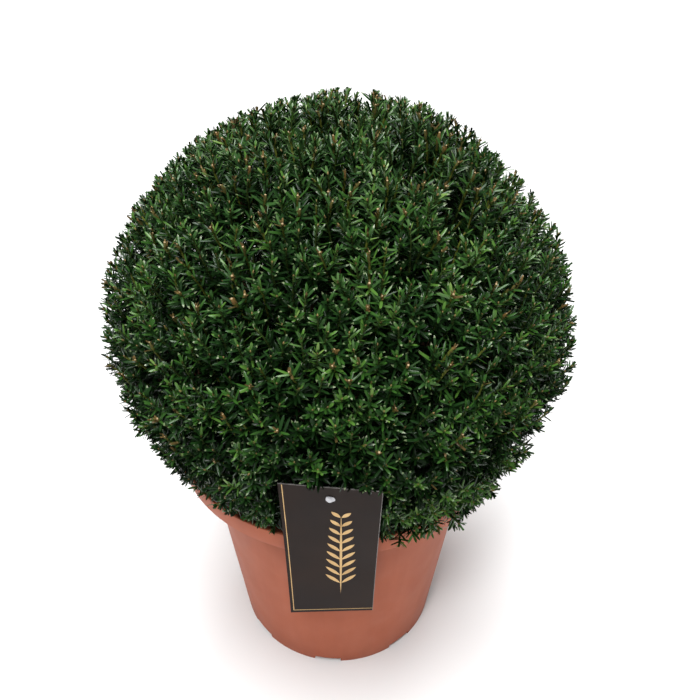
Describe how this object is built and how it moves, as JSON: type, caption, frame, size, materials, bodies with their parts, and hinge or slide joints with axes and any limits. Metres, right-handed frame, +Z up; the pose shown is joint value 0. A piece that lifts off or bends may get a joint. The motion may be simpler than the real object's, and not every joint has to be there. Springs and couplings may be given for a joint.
{
  "type": "potted clipped english yew",
  "caption": "Evergreen yew shrub clipped to a dense round ball, standing in a tapered plastic nursery pot with a card label at its front.",
  "frame": {"origin": "middle of the pot's flat underside, which stands on the ground", "axes": "+Z up along the pot's axis; the label hangs on the -Y side, which faces the viewer; +X to the viewer's right"},
  "size_m": [0.4106, 0.41, 0.5836],
  "materials": {
    "pot_plastic": "terracotta-coloured moulded plastic, matt with a faint vertical flow pattern",
    "soil": "dark crumbly potting compost",
    "bark": "thin flaking red-brown bark",
    "needles": "dense glossy dark green needles with paler undersides, brown clipped shoot ends",
    "label_card": "charcoal coated card with a thin gold rule",
    "tie_plastic": "white plastic"
  },
  "bodies": {
    "root": {"pot": "pot_plastic", "soil": "soil", "trunk": "bark", "bough_top": "bark", "bough_upper_1": "bark", "bough_upper_2": "bark", "bough_upper_3": "bark", "bough_upper_4": "bark", "bough_upper_5": "bark", "bough_lower_1": "bark", "bough_lower_2": "bark", "bough_lower_3": "bark", "bough_lower_4": "bark", "bough_lower_5": "bark", "foliage_top": "needles", "foliage_upper_1": "needles", "foliage_upper_2": "needles", "foliage_upper_3": "needles", "foliage_upper_4": "needles", "foliage_upper_5": "needles", "foliage_lower_1": "needles", "foliage_lower_2": "needles", "foliage_lower_3": "needles", "foliage_lower_4": "needles", "foliage_lower_5": "needles", "label_card": "label_card", "label_tie": "tie_plastic"}
  },
  "joints": []
}
